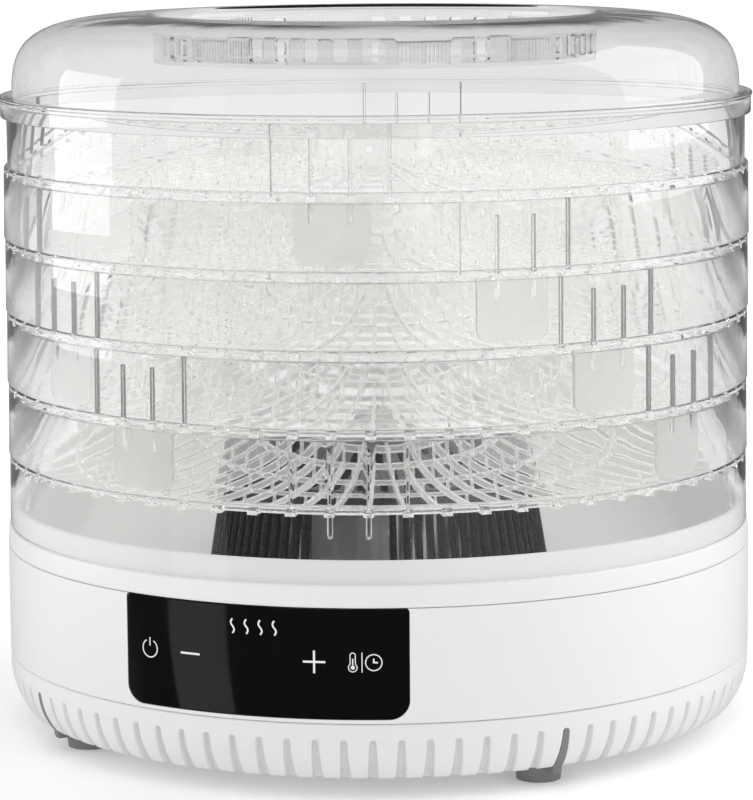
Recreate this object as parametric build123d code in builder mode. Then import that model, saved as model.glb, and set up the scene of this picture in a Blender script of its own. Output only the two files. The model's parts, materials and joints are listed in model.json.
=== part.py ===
from build123d import *
import os
from math import cos, radians, sin, sqrt

# Food dehydrator: a white base with a fan, heater and controls, five clear
# stacking trays and a clear domed lid.
# Millimetres.  Z is up, Z = 0 is the surface it stands on, the stack's axis
# is the Z axis and the control panel faces -Y.

os.makedirs("parts", exist_ok=True)

# ---------------------------------------------------------------- dimensions
# heights of the stack
FOOT_H = 8.0                 # rubber feet below the bottom plate
VENT_LINE = 32.8             # joint between the vented skirt and the body
PARTING = 80.5               # joint between the body and the white top deck
SHOULDER = 89.35             # ledge that the lowest tray stands on
COLLAR_TOP = 99.4            # rim of the collar inside the lowest tray
PITCH = 31.65                # tray to tray
TRAY_COUNT = 5
TRAY_1 = SHOULDER + PITCH    # shoulder height of the lowest tray
LID_FLANGE_BOTTOM = 269.0
LID_FLANGE_TOP = 277.9
LID_TOP = 312.4
GAP = 0.3                    # clearance kept between pieces that lift apart

# base radii
BODY_R = 165.1
BODY_WALL = 2.5
COLLAR_R = 161.7
COLLAR_WALL = 2.8
SHOULDER_R = 164.5
DECK_FLOOR = 70.0            # top face of the floor around the grille
DECK_T = 2.5
DECK_HOLE_R = 66.0

# vented skirt
SKIRT_BOTTOM_R = 157.5
SKIRT_T = 6.0
GROOVES = 88
GROOVE_TOP = 26.0
GROOVE_DEPTH = 3.4
GROOVE_W_TOP = 2.7
GROOVE_W_BOTTOM = 4.4
PLATE_T = 2.5

# trays
TRAY_SKIRT_R = 164.0
TRAY_SKIRT_TOP_R = 163.5
TRAY_SKIRT_IN = 162.2
TRAY_WALL_R = 161.9
TRAY_WALL_IN = 159.9
TRAY_WALL_TOP = 27.2         # above the tray's shoulder
TRAY_FLOOR_BOTTOM = -4.0     # below the tray's shoulder
TRAY_FLOOR_T = 1.8
TRAY_STEP_T = 2.2
SPOKES = 32
RIB_STEP = 180 / SPOKES      # ribs stand twice as close as the spokes
RING_RADII = (46.0, 67.0, 88.0, 110.0, 131.0)
RING_W = 2.6
BAND_IN, BAND_OUT = 150.0, 157.0
HUB_R = 27.0
HUB_WALL = 2.0
HUB_TOP = 13.0
HUB_SLOTS = 8
HUB_SLOT_W = 3.0
SPOKE_HUB_W, SPOKE_END_W = 2.4, 6.0
POST_W = 5.0
TAB_HALF = 5.6               # degrees
TAB_BOTTOM = -29.5
TAB_IN, TAB_OUT = 156.0, 157.6
TRAY_TURNS = (13.2, -20.2, -36.7, 37.6, 10.9)   # degrees, lowest tray first

# lid
LID_SIDE_R = 159.4
LID_WALL = 2.0
WELL_R = 95.0
WELL_FLOOR = 295.2
WINDOW_BOTTOM, WINDOW_TOP = 296.4, 306.6
WINDOW_W = 6.3
WINDOW_STEP = 7.4            # degrees

# control panel
PANEL_HALF = 21.6            # degrees
PANEL_BOTTOM, PANEL_TOP = 34.6, 80.2
PANEL_CORNER_R = 8.0
PANEL_WALL = 2.5
KEY_Z = 58.3
KEY_ANGLES = (-17.4, -10.5, 8.2, 13.3, 16.1)

# fan, motor and heater, all on the Z axis
SHAFT_R = 2.5
MOTOR_R = 29.0
MOTOR_BOTTOM = 15.0
FAN_R = 56.0
FAN_Z = 52.0
FAN_HUB_R = 14.0
BLADES = 7
DUCT_R = 60.0
DUCT_WALL = 2.0
DUCT_BOTTOM = 42.0
GRILLE_BASE_R = 75.0
GRILLE_TOP_R = 66.0
GRILLE_TOP = 112.0
GRILLE_WALL = 2.2
GRILLE_SLOTS = 80
HEATER_Z = 82.0
FOOT_R = 10.0
FOOT_RING_R = 142.0
FEET = {"front_right": 45, "rear_right": 135, "rear_left": 225, "front_left": 315}


def polar(azimuth):
    """Angle from +X of an azimuth counted from the panel, -Y, towards +X."""
    return azimuth - 90


def at(radius, azimuth):
    """Point on the ground plan at a radius and an azimuth from the panel."""
    return radius * sin(radians(azimuth)), -radius * cos(radians(azimuth))


def facing(azimuth):
    """Upright plane through the Z axis whose normal points out at an azimuth."""
    a = radians(azimuth)
    return Plane((0, 0, 0), x_dir=(cos(a), sin(a), 0), z_dir=(sin(a), -cos(a), 0))


def save(piece, name):
    """Label a finished piece and write it as its own STEP file."""
    piece.part.label = name
    export_step(piece.part, f"parts/{name}.step")


def save_sections(sections, name):
    """Write a moulding whose sections stay separate solids that meet face to face."""
    moulding = Compound([solid for section in sections for solid in section.solids()])
    moulding.label = name
    export_step(moulding, f"parts/{name}.step")


def ring(r_out, r_in, bottom, top):
    """Plain tube around the Z axis."""
    with BuildPart() as tube:
        with BuildSketch(Plane.XY.offset(bottom)):
            Circle(r_out)
            Circle(r_in, mode=Mode.SUBTRACT)
        extrude(amount=top - bottom)
    return tube


BOSS_PLACES = [at(120, azimuth) for azimuth in (60, 120, 240, 300)]


# ------------------------------------------------------- vented lower housing
def skirt_outline(inset):
    """Outer curve of the vented skirt, moved inwards by inset."""
    top = (BODY_R - 0.4 - inset, VENT_LINE - GAP)
    middle = (BODY_R - 1.6 - inset, 18.5 + 0.15 * inset)
    foot = (SKIRT_BOTTOM_R - inset, FOOT_H + 0.5 * inset)
    return top, middle, foot


def groove_blanks(clearance, angles):
    """Upright tapered slots with round tops, cut radially through the skirt."""
    half_top = GROOVE_W_TOP / 2 - clearance
    half_bottom = GROOVE_W_BOTTOM / 2 - clearance
    round_z = GROOVE_TOP - GROOVE_W_TOP / 2
    with BuildPart() as blanks:
        for angle in angles:
            with BuildSketch(facing(angle).offset(150)):
                with BuildLine():
                    ThreePointArc((-half_top, round_z), (0, round_z + half_top), (half_top, round_z))
                    Polyline((half_top, round_z), (half_bottom, FOOT_H - 2),
                             (-half_bottom, FOOT_H - 2), (-half_top, round_z))
                make_face()
            extrude(amount=20, clean=False)
    return blanks


def skirt_core(inset):
    """Solid inside the skirt's outer curve after it moves inwards by inset."""
    top, middle, foot = skirt_outline(inset)
    with BuildPart() as core:
        with BuildSketch(Plane.XZ):
            with BuildLine():
                ThreePointArc(top, middle, foot)
                Polyline(foot, (foot[0], FOOT_H - 3), (0, FOOT_H - 3), (0, top[1]), top)
            make_face()
        revolve(axis=Axis.Z)
    return core


groove_angles = [k * 360 / GROOVES for k in range(GROOVES)]
groove_core = skirt_core(GROOVE_DEPTH)

with BuildPart() as lower_housing:
    top, middle, foot = skirt_outline(0)
    with BuildSketch(Plane.XZ):
        with BuildLine():
            ThreePointArc(top, middle, foot)
            Polyline(foot, (0, FOOT_H), (0, FOOT_H + PLATE_T), (foot[0] - 5, FOOT_H + PLATE_T),
                     (top[0] - SKIRT_T, 20), (top[0] - SKIRT_T, VENT_LINE + 5),
                     (BODY_R - BODY_WALL - 0.2, VENT_LINE + 5),
                     (BODY_R - BODY_WALL - 0.2, top[1]), top)
        make_face()
    revolve(axis=Axis.Z)
    grooves = groove_blanks(0, groove_angles).part - groove_core.part
    add(grooves, mode=Mode.SUBTRACT)
    # air inlet under the motor: two rings of radial slots
    with BuildSketch(Plane.XY.offset(FOOT_H - 1)):
        with PolarLocations(48, 24):
            SlotOverall(24, 4)
        with PolarLocations(84, 36):
            SlotOverall(26, 4)
    extrude(amount=PLATE_T + 3, mode=Mode.SUBTRACT)
    with BuildSketch(Plane.XY.offset(FOOT_H - 1)):
        with Locations(*BOSS_PLACES):
            Circle(1.7)
    extrude(amount=PLATE_T + 3, mode=Mode.SUBTRACT)
    # pillars for the motor bracket
    with BuildSketch(Plane.XY.offset(FOOT_H + 1)):
        with PolarLocations(66, 4, start_angle=45):
            Circle(4.5)
    extrude(amount=DUCT_BOTTOM - 6.4 - FOOT_H - 1)
save(lower_housing, "lower_housing")

# --------------------------------------------------------------- rubber feet
for place, azimuth in FEET.items():
    x, y = at(FOOT_RING_R, azimuth)
    with BuildPart() as foot_pad:
        tail = groove_blanks(0.08, [azimuth]).part - skirt_core(GROOVE_DEPTH - 0.08).part
        add(tail & skirt_core(0).part)
        with BuildSketch(Plane.XY):
            with Locations((x, y)):
                Circle(FOOT_R - 0.8)
        with BuildSketch(Plane.XY.offset(FOOT_H - 0.05)):
            with Locations((x, y)):
                Circle(FOOT_R)
        loft()
        # strap under the plate that joins the pad to the tail in its groove
        with BuildSketch(Plane.XY.offset(FOOT_H - 3)):
            with Locations(Location((*at(149.5, azimuth), 0), (0, 0, azimuth))):
                Rectangle(4, 15)
        extrude(amount=2.95)
    save(foot_pad, f"foot_{place}")

# ---------------------------------------------------------------- body shell
panel_half_w = BODY_R * sin(radians(PANEL_HALF))


def panel_blank(gap, depth_in):
    """Block in the panel's outline, square above and rounded below."""
    with BuildPart() as blank:
        with BuildSketch(Plane.XZ.offset(130)) as outline:
            with Locations((0, (PANEL_TOP + PANEL_BOTTOM) / 2)):
                Rectangle(2 * (panel_half_w + gap), PANEL_TOP - PANEL_BOTTOM + 2 * gap)
            low = outline.vertices().group_by(Axis.Z)[0]
            fillet(low, PANEL_CORNER_R)
        extrude(amount=50)
        with BuildSketch(Plane.XY):
            Circle(BODY_R + 10)
            Circle(depth_in, mode=Mode.SUBTRACT)
        extrude(amount=120, mode=Mode.INTERSECT)
    return blank


with BuildPart() as base_shell:
    with BuildSketch(Plane.XY.offset(VENT_LINE)):
        Circle(BODY_R)
        Circle(BODY_R - BODY_WALL, mode=Mode.SUBTRACT)
    extrude(amount=PARTING - GAP - VENT_LINE)
    chamfer(base_shell.edges().filter_by(GeomType.CIRCLE).sort_by(SortBy.RADIUS)[-2:], 0.5)
    add(panel_blank(0.15, BODY_R - 6).part, mode=Mode.SUBTRACT)
    # hole for the cord's bush at the back
    with BuildSketch(Plane.XZ.offset(-150)):
        with Locations((0, 47)):
            Circle(6.6)
    extrude(amount=-30, mode=Mode.SUBTRACT)
save(base_shell, "base_shell")

with BuildPart() as cord_gland:
    with BuildSketch(Plane.XZ.offset(-158)):
        with Locations((0, 47)):
            Circle(6.5)
    extrude(amount=-6.9)
    with BuildSketch(Plane.XZ.offset(-155)):
        with Locations((0, 47)):
            Circle(9.0)
    extrude(amount=-3)
    with BuildSketch(Plane.XZ.offset(-150)):
        with Locations((0, 47)):
            Circle(3.6)
    extrude(amount=-20, mode=Mode.SUBTRACT)
save(cord_gland, "cord_gland")

# ------------------------------------------------------------------ top deck
COLLAR_ROUND = 1.4           # height of the collar's rounded rim
DECK_EDGE_R = COLLAR_R - COLLAR_WALL
with BuildPart() as deck_rim:
    skirt_in = BODY_R - BODY_WALL
    with BuildSketch(Plane.XZ):
        with BuildLine():
            Polyline((DECK_EDGE_R, DECK_FLOOR - DECK_T), (DECK_EDGE_R, COLLAR_TOP - COLLAR_ROUND))
            ThreePointArc((DECK_EDGE_R, COLLAR_TOP - COLLAR_ROUND),
                          (COLLAR_R - COLLAR_WALL / 2, COLLAR_TOP),
                          (COLLAR_R, COLLAR_TOP - COLLAR_ROUND))
            Polyline((COLLAR_R, COLLAR_TOP - COLLAR_ROUND), (COLLAR_R, SHOULDER),
                     (SHOULDER_R - 0.8, SHOULDER))
            ThreePointArc((SHOULDER_R - 0.8, SHOULDER), (SHOULDER_R - 0.24, SHOULDER - 0.24),
                          (SHOULDER_R, SHOULDER - 0.8))
            Polyline((SHOULDER_R, SHOULDER - 0.8), (BODY_R, PARTING + 1), (BODY_R - 0.5, PARTING),
                     (skirt_in, PARTING), (skirt_in, SHOULDER - DECK_T),
                     (COLLAR_R - GAP, SHOULDER - DECK_T), (COLLAR_R - GAP, DECK_FLOOR - DECK_T),
                     (DECK_EDGE_R, DECK_FLOOR - DECK_T))
        make_face()
    revolve(axis=Axis.Z)

with BuildPart() as deck_floor:
    with BuildSketch(Plane.XY.offset(DECK_FLOOR - DECK_T)):
        Circle(DECK_EDGE_R)
        Circle(DECK_HOLE_R, mode=Mode.SUBTRACT)
    extrude(amount=DECK_T)
    # bosses for the screws that come up through the bottom plate
    with BuildSketch(Plane.XY.offset(FOOT_H + PLATE_T + 0.1)):
        with Locations(*BOSS_PLACES):
            Circle(4.5)
    extrude(amount=DECK_FLOOR - DECK_T - FOOT_H - PLATE_T)
    with BuildSketch(Plane.XY.offset(FOOT_H)):
        with Locations(*BOSS_PLACES):
            Circle(1.55)
    extrude(amount=16, mode=Mode.SUBTRACT)
save_sections([deck_rim.part, deck_floor.part], "top_deck")

# ---------------------------------------------------------------- air grille
with BuildPart() as air_grille:
    seat = DECK_FLOOR + 0.05
    with BuildSketch(Plane.XZ):
        with BuildLine():
            Polyline((DECK_HOLE_R + 0.5, seat), (GRILLE_BASE_R + 2, seat),
                     (GRILLE_BASE_R + 2, seat + 2), (GRILLE_BASE_R, seat + 2),
                     (GRILLE_TOP_R, GRILLE_TOP), (0, GRILLE_TOP),
                     (0, GRILLE_TOP - GRILLE_WALL),
                     (GRILLE_TOP_R - GRILLE_WALL, GRILLE_TOP - GRILLE_WALL),
                     (GRILLE_BASE_R - GRILLE_WALL - 1, seat + 2), (DECK_HOLE_R + 0.5, seat + 2),
                     (DECK_HOLE_R + 0.5, seat))
        make_face()
    revolve(axis=Axis.Z)
    # upright slots round the side
    with BuildSketch(Plane.XY.offset(DECK_FLOOR + 6)):
        with PolarLocations(GRILLE_BASE_R - 4, GRILLE_SLOTS):
            Rectangle(14, 2.6)
    extrude(amount=GRILLE_TOP - DECK_FLOOR - 12, mode=Mode.SUBTRACT)
    # rings of slots through the top
    with BuildSketch(Plane.XY.offset(GRILLE_TOP - 10)):
        for radius, count in ((18, 12), (32, 20), (46, 28), (58, 36)):
            with PolarLocations(radius, count):
                SlotOverall(10, 3.4)
    extrude(amount=12, mode=Mode.SUBTRACT)
save(air_grille, "air_grille")

# ------------------------------------------------------------- control panel
with BuildPart() as control_panel:
    add(panel_blank(0, BODY_R - PANEL_WALL).part)
    with BuildSketch(Plane.XY.offset(PANEL_BOTTOM - 5)):
        Circle(BODY_R)
    extrude(amount=60, mode=Mode.INTERSECT)
save(control_panel, "control_panel")

BOARD_Y = -149.0
SHELF_Z = VENT_LINE + 5.2
BOARD_LOW, BOARD_HIGH = SHELF_Z + 2.1, DECK_FLOOR - DECK_T - 1
with BuildPart() as control_board:
    with BuildSketch(Plane.XZ.offset(-BOARD_Y - 1.6)):
        with Locations((0, (BOARD_LOW + BOARD_HIGH) / 2)):
            RectangleRounded(100, BOARD_HIGH - BOARD_LOW, 2)
    extrude(amount=1.6)
    with BuildSketch(Plane.XZ.offset(-BOARD_Y - 4.6)):
        with Locations((-14, 50), (22, 58)):
            Rectangle(10, 10)
        with Locations((38, 50)):
            Rectangle(14, 7)
    extrude(amount=3.0)
save(control_board, "control_board")

with BuildPart() as display_module:
    with BuildSketch(Plane.XZ.offset(-BOARD_Y + 0.1)):
        with Locations((-3, KEY_Z)):
            RectangleRounded(38, 16, 1)
    extrude(amount=7.5)
save(display_module, "display_module")

with BuildPart() as touch_pads:
    pad_face = BODY_R - PANEL_WALL - 0.4
    for angle in KEY_ANGLES[:4]:
        x = pad_face * sin(radians(angle))
        reach = sqrt(pad_face ** 2 - (abs(x) + 3.0) ** 2)
        with BuildSketch(Plane.XZ.offset(-BOARD_Y + 0.1)):
            with Locations((x, KEY_Z)):
                Circle(3.0)
        extrude(amount=reach + BOARD_Y - 0.1)
save(touch_pads, "touch_pads")

with BuildPart() as panel_carrier:
    # crescent shelf that the control board stands on
    with BuildSketch(Plane.XY.offset(SHELF_Z)):
        Circle(BODY_R - BODY_WALL - 0.3)
        with Locations((0, 200 + BOARD_Y + 5)):
            Rectangle(400, 400, mode=Mode.SUBTRACT)
    extrude(amount=2)
save(panel_carrier, "panel_carrier")

# ---------------------------------------------------------- motor and bracket
with BuildPart() as motor_bracket:
    arm_z = DUCT_BOTTOM - 6.3
    with BuildSketch(Plane.XY.offset(arm_z)):
        Circle(MOTOR_R + 2)
        with Locations((0, 0, 0)):
            Rectangle(140, 12, rotation=45)
            Rectangle(140, 12, rotation=-45)
        Circle(9, mode=Mode.SUBTRACT)
        with PolarLocations(66, 4, start_angle=45):
            Circle(1.8, mode=Mode.SUBTRACT)
        with PolarLocations(22, 4):
            Circle(1.8, mode=Mode.SUBTRACT)
    extrude(amount=2)
save(motor_bracket, "motor_bracket")

with BuildPart() as fan_motor:
    motor_top = DUCT_BOTTOM - 6.35
    with BuildSketch(Plane.XY.offset(MOTOR_BOTTOM)):
        Circle(MOTOR_R)
    extrude(amount=motor_top - MOTOR_BOTTOM)
    fillet(fan_motor.faces().sort_by(Axis.Z)[0].edges(), 3)
    with BuildSketch(Plane.XY.offset(motor_top)):
        Circle(8)
    extrude(amount=4)
    # lamination stack around the can
    with BuildSketch(Plane.XY.offset(MOTOR_BOTTOM + 6)):
        RectangleRounded(66, 52, 4)
    extrude(amount=9)
    with BuildSketch(Plane.XY.offset(MOTOR_BOTTOM + 2)):
        Circle(SHAFT_R + 0.05)
    extrude(amount=40, mode=Mode.SUBTRACT)
save(fan_motor, "fan_motor")

with BuildPart() as motor_shaft:
    with BuildSketch(Plane.XY.offset(MOTOR_BOTTOM + 3)):
        Circle(SHAFT_R)
    extrude(amount=FAN_Z + 12 - MOTOR_BOTTOM - 3)
save(motor_shaft, "motor_shaft")

with BuildPart() as fan_impeller:
    with BuildSketch(Plane.XY.offset(FAN_Z - 6)):
        Circle(FAN_HUB_R)
    extrude(amount=14)
    fillet(fan_impeller.faces().sort_by(Axis.Z)[-1].edges(), 3)
    # pitched blades
    for k in range(BLADES):
        turn = k * 360 / BLADES
        root = Plane((0, 0, FAN_Z), x_dir=(-sin(radians(turn)), cos(radians(turn)), 0),
                     z_dir=(cos(radians(turn)), sin(radians(turn)), 0))
        with BuildSketch(root.offset(FAN_HUB_R - 2)):
            Rectangle(14, 1.6, rotation=38)
        with BuildSketch(root.offset(FAN_R)):
            Rectangle(30, 1.4, rotation=20)
        loft()
    with BuildSketch(Plane.XY.offset(FAN_Z - 10)):
        Circle(SHAFT_R)
    extrude(amount=24, mode=Mode.SUBTRACT)
save(fan_impeller, "fan_impeller")

# the duct hangs under the deck and turns the fan's air up into the grille
duct = ring(DUCT_R + DUCT_WALL, DUCT_R, DUCT_BOTTOM, DECK_FLOOR - DECK_T - 0.1)
with BuildPart() as fan_duct:
    add(duct.part)
    with BuildSketch(Plane.XY.offset(DECK_FLOOR - DECK_T - 2.6)):
        Circle(DUCT_R + 18)
        Circle(DUCT_R, mode=Mode.SUBTRACT)
    extrude(amount=2.5)
save(fan_duct, "fan_duct")

# ----------------------------------------------------------- heater assembly
heat_shield = ring(62.5, 61.7, DECK_FLOOR - DECK_T, HEATER_Z + 14)
save(heat_shield, "heat_shield")

with BuildPart() as heater_frame:
    # two crossed mica boards with notches for the winding
    for turn in (0, 90):
        with BuildSketch(facing(turn).offset(-0.5)):
            with Locations((0, HEATER_Z)):
                Rectangle(2 * 61.2, 24)
                with GridLocations(2 * 40, 11, 2, 2):
                    Rectangle(8, 2.6, mode=Mode.SUBTRACT)
                with GridLocations(2 * 54, 11, 2, 2):
                    Rectangle(8, 2.6, mode=Mode.SUBTRACT)
        extrude(amount=1)
save(heater_frame, "heater_frame")

with BuildPart() as heater_coil:
    # four resistance-wire rings threaded through the notches in the boards
    for radius in (40, 54):
        for z in (HEATER_Z - 5.5, HEATER_Z + 5.5):
            with BuildSketch(Plane.XZ):
                with Locations((radius, z)):
                    Circle(1.2)
            revolve(axis=Axis.Z)
save(heater_coil, "heater_coil")

with BuildPart() as thermal_cutout:
    with BuildSketch(Plane.XY.offset(HEATER_Z - 4)):
        with Locations((22, 8.55)):
            Circle(8)
    extrude(amount=7)
    with BuildSketch(Plane.XY.offset(HEATER_Z - 1)):
        with Locations((22, 8.55)):
            Rectangle(22, 3)
    extrude(amount=1.2)
save(thermal_cutout, "thermal_cutout")

with BuildPart() as thermal_fuse:
    with BuildSketch(Plane.YZ.offset(-30)):
        with Locations((2.75, HEATER_Z)):
            Circle(2.2)
    extrude(amount=14)
save(thermal_fuse, "thermal_fuse")

with BuildPart() as temperature_sensor:
    with BuildSketch(Plane.XY.offset(GRILLE_TOP - GRILLE_WALL - 8)):
        with Locations((7, 7)):
            Circle(2.4)
    extrude(amount=8)
save(temperature_sensor, "temperature_sensor")

# ------------------------------------------------------------------ power board
BOARD_AT = (0, 112, 24)
with BuildPart() as power_board:
    with BuildSketch(Plane.XY.offset(BOARD_AT[2])):
        with Locations(BOARD_AT[:2]):
            RectangleRounded(90, 46, 3)
    extrude(amount=1.6)
    # four legs down to the bottom plate
    with BuildSketch(Plane.XY.offset(FOOT_H + PLATE_T)):
        with Locations(BOARD_AT[:2]):
            with GridLocations(78, 34, 2, 2):
                Circle(3)
    extrude(amount=BOARD_AT[2] - FOOT_H - PLATE_T)
save(power_board, "power_board")

with BuildPart() as board_components:
    top = BOARD_AT[2] + 1.65
    with BuildSketch(Plane.XY.offset(top)):
        with Locations((-24, 112)):
            Rectangle(24, 20)
    extrude(amount=18)
    with BuildSketch(Plane.XY.offset(top)):
        with Locations((6, 104)):
            Rectangle(19, 15)
    extrude(amount=15)
    with BuildSketch(Plane.XY.offset(top)):
        with Locations((6, 124), (20, 124)):
            Circle(5)
    extrude(amount=16)
    with BuildSketch(Plane.XY.offset(top)):
        with Locations((34, 112)):
            Rectangle(8, 28)
    extrude(amount=10)
save(board_components, "board_components")

# inner lead from the cord's bush to the terminal block on the power board
lead_points = [(0, 157.9, 47), (0, 148, 47), (14, 142, 46), (30, 134, 42), (34, 122, 39.5)]
with BuildPart() as inner_lead:
    with BuildLine():
        FilletPolyline(*lead_points, radius=[5, 7, 6])
    with BuildSketch(Plane(origin=lead_points[0], z_dir=(0, -1, 0))):
        Circle(2.0)
    sweep()
save(inner_lead, "inner_lead")

# signal cable round the motor, from the power board to the control board
signal_points = [(-41, 101, 27.3), (-58, 88, 27.3), (-84, 50, 24), (-92, 0, 22), (-84, -50, 24),
                 (-66, -100, 34), (-44, -132, 44), (-36, BOARD_Y + 1.65, 46)]
with BuildPart() as signal_cable:
    with BuildLine():
        FilletPolyline(*signal_points, radius=[12, 40, 60, 60, 50, 30])
    with BuildSketch(Plane(origin=signal_points[0],
                           z_dir=Vector(*signal_points[1]) - Vector(*signal_points[0]))):
        Circle(1.6)
    sweep()
save(signal_cable, "signal_cable")

# ------------------------------------------------------------------- fasteners
def screws(places, head_z, length, up):
    """Group of pan-head screws; the heads face down unless up is set."""
    way = 1 if up else -1
    with BuildPart() as group:
        for x, y in places:
            with BuildSketch(Plane.XY.offset(head_z)):
                with Locations((x, y)):
                    Circle(3.0)
            extrude(amount=2.0 * way)
            with BuildSketch(Plane.XY.offset(head_z)):
                with Locations((x, y)):
                    Circle(1.5)
            extrude(amount=-length * way)
            with BuildSketch(Plane.XY.offset(head_z + 2.0 * way)):
                with Locations((x, y)):
                    Rectangle(3.4, 0.8)
                    Rectangle(0.8, 3.4)
            extrude(amount=-1.0 * way, mode=Mode.SUBTRACT)
    return group


motor_screws = screws([(22, 0), (0, 22), (-22, 0), (0, -22)], DUCT_BOTTOM - 4.25, 1.95, True)
save(motor_screws, "motor_screws")
bottom_screws = screws(BOSS_PLACES, FOOT_H - 0.05, 14, False)
save(bottom_screws, "bottom_screws")

# ----------------------------------------------------------------------- trays
def tray_band():
    """Ring under the wall that carries the grid, and its posts to the skirt."""
    with BuildPart() as band:
        with BuildSketch(Plane.XY.offset(TRAY_FLOOR_BOTTOM)):
            Circle(BAND_OUT)
            Circle(BAND_IN, mode=Mode.SUBTRACT)
            with PolarLocations((BAND_OUT + TRAY_SKIRT_IN) / 2, SPOKES, start_angle=RIB_STEP / 2):
                Rectangle(TRAY_SKIRT_IN - BAND_OUT + 1.2, POST_W)
        extrude(amount=TRAY_FLOOR_T + 0.1)
    return band


def tray_grid():
    """Open floor of spokes and rings between the hub and the band."""
    with BuildPart() as grid:
        with BuildSketch(Plane.XY.offset(TRAY_FLOOR_BOTTOM)):
            for radius in RING_RADII:
                with BuildSketch(mode=Mode.PRIVATE) as hoop:
                    Circle(radius + RING_W / 2)
                    Circle(radius - RING_W / 2, mode=Mode.SUBTRACT)
                add(hoop.sketch)
            with BuildSketch(mode=Mode.PRIVATE) as spoke:
                with BuildLine():
                    Polyline((HUB_R - 1, SPOKE_HUB_W / 2), (BAND_IN + 1, SPOKE_END_W / 2),
                             (BAND_IN + 1, -SPOKE_END_W / 2), (HUB_R - 1, -SPOKE_HUB_W / 2),
                             close=True)
                make_face()
            with PolarLocations(0, SPOKES, start_angle=RIB_STEP / 2):
                add(spoke.sketch)
            Circle(HUB_R, mode=Mode.SUBTRACT)
            Circle(BAND_IN, mode=Mode.INTERSECT)
        extrude(amount=TRAY_FLOOR_T)
    return grid


def tray_hub():
    """Slotted ring that the spokes meet in the middle."""
    with BuildPart() as hub:
        with BuildSketch(Plane.XY.offset(TRAY_FLOOR_BOTTOM)):
            Circle(HUB_R)
            Circle(HUB_R - HUB_WALL, mode=Mode.SUBTRACT)
        extrude(amount=HUB_TOP - TRAY_FLOOR_BOTTOM)
        with BuildSketch(Plane.XY):
            with PolarLocations(HUB_R - HUB_WALL / 2, HUB_SLOTS):
                Rectangle(3 * HUB_WALL, HUB_SLOT_W)
        extrude(amount=HUB_TOP - 2, mode=Mode.SUBTRACT)
    return hub


def tray_wall():
    """Skirt, shoulder and upper wall as one turned ring."""
    with BuildPart() as wall:
        with BuildSketch(Plane.XZ):
            with BuildLine():
                Polyline((TRAY_SKIRT_IN, GAP - PITCH), (TRAY_SKIRT_R, GAP - PITCH),
                         (TRAY_SKIRT_TOP_R, -1.2))
                ThreePointArc((TRAY_SKIRT_TOP_R, -1.2), (TRAY_SKIRT_TOP_R - 0.35, -0.35),
                              (TRAY_SKIRT_TOP_R - 1.2, 0))
                Polyline((TRAY_SKIRT_TOP_R - 1.2, 0), (TRAY_WALL_R, 0),
                         (TRAY_WALL_R, TRAY_WALL_TOP), (TRAY_WALL_IN, TRAY_WALL_TOP),
                         (TRAY_WALL_IN, -TRAY_STEP_T), (TRAY_SKIRT_IN, -TRAY_STEP_T),
                         (TRAY_SKIRT_IN, GAP - PITCH))
            make_face()
        revolve(axis=Axis.Z)
    return wall


def tray_group():
    """Four ribs, two pegs and the hanging tab, centred on the +X side."""
    with BuildPart() as group:
        for step, low, high in ((-1.5, -3.0, TRAY_WALL_TOP), (1.5, -3.0, TRAY_WALL_TOP),
                                (-0.5, -3.0, 21.5), (0.5, -3.0, 21.5)):
            turn = Location((0, 0, 0), (0, 0, step * RIB_STEP))
            with BuildSketch(Plane.XY.offset(low)):
                with Locations(turn):
                    with Locations((159.2, 0)):
                        Rectangle(1.8, 1.6)
            extrude(amount=high - low)
        for step in (-0.5, 0.5):
            with BuildSketch(facing(step * RIB_STEP).offset(-0.8)):
                with BuildLine():
                    Polyline((157.9, -2.2), (159.4, -2.2), (159.4, -11), (158.6, -13.5),
                             (157.9, -11), (157.9, -2.2))
                make_face()
            extrude(amount=1.6)
        with BuildSketch(Plane.XY.offset(TAB_BOTTOM)):
            Circle(TAB_OUT)
            Circle(TAB_IN, mode=Mode.SUBTRACT)
            half_w = TAB_OUT * sin(radians(TAB_HALF))
            with Locations((TAB_OUT - 5, 0)):
                Rectangle(20, 2 * half_w, mode=Mode.INTERSECT)
        extrude(amount=TRAY_FLOOR_BOTTOM + 1 - TAB_BOTTOM)
        corners = group.edges().filter_by(Axis.X, tolerance=1e-2).group_by(Axis.Z)[0]
        fillet(corners, 5)
    return group


wall = tray_wall()
band = tray_band()
group = tray_group()
with BuildPart() as tray_rim:
    add(wall.part)
    add(band.part)
    with PolarLocations(0, 4):
        add(group.part)
tray_sections = [tray_rim.part, tray_grid().part, tray_hub().part]

for number, turn in enumerate(TRAY_TURNS, start=1):
    place = Location((0, 0, TRAY_1 + (number - 1) * PITCH), (0, 0, polar(turn)))
    save_sections([section.moved(place) for section in tray_sections], f"tray_{number}")

# ------------------------------------------------------------------------- lid
def dome_outline(inset):
    """Points of the dome's curve from the flange to the rim of the well."""
    return ((LID_SIDE_R - inset, LID_FLANGE_TOP), (158.6 - inset, 288.0),
            (152.2 - 0.8 * inset, 301.6 - 0.6 * inset), (139.0 - 0.4 * inset, 308.8 - 0.9 * inset),
            (99.0 + inset, LID_TOP - inset))


def lid_windows():
    """Blocks of the air windows in the well's wall: four groups of five, one between each."""
    with BuildPart() as windows:
        for quarter in range(4):
            centres = [quarter * 90 + 1.5 + k * WINDOW_STEP for k in (-2, -1, 0, 1, 2)]
            centres.append(quarter * 90 + 45)
            for angle in centres:
                with BuildSketch(facing(angle).offset(WELL_R - 5)):
                    with Locations((0, (WINDOW_BOTTOM + WINDOW_TOP) / 2)):
                        RectangleRounded(WINDOW_W, WINDOW_TOP - WINDOW_BOTTOM, 1.2)
                extrude(amount=12, clean=False)
    return windows


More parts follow.
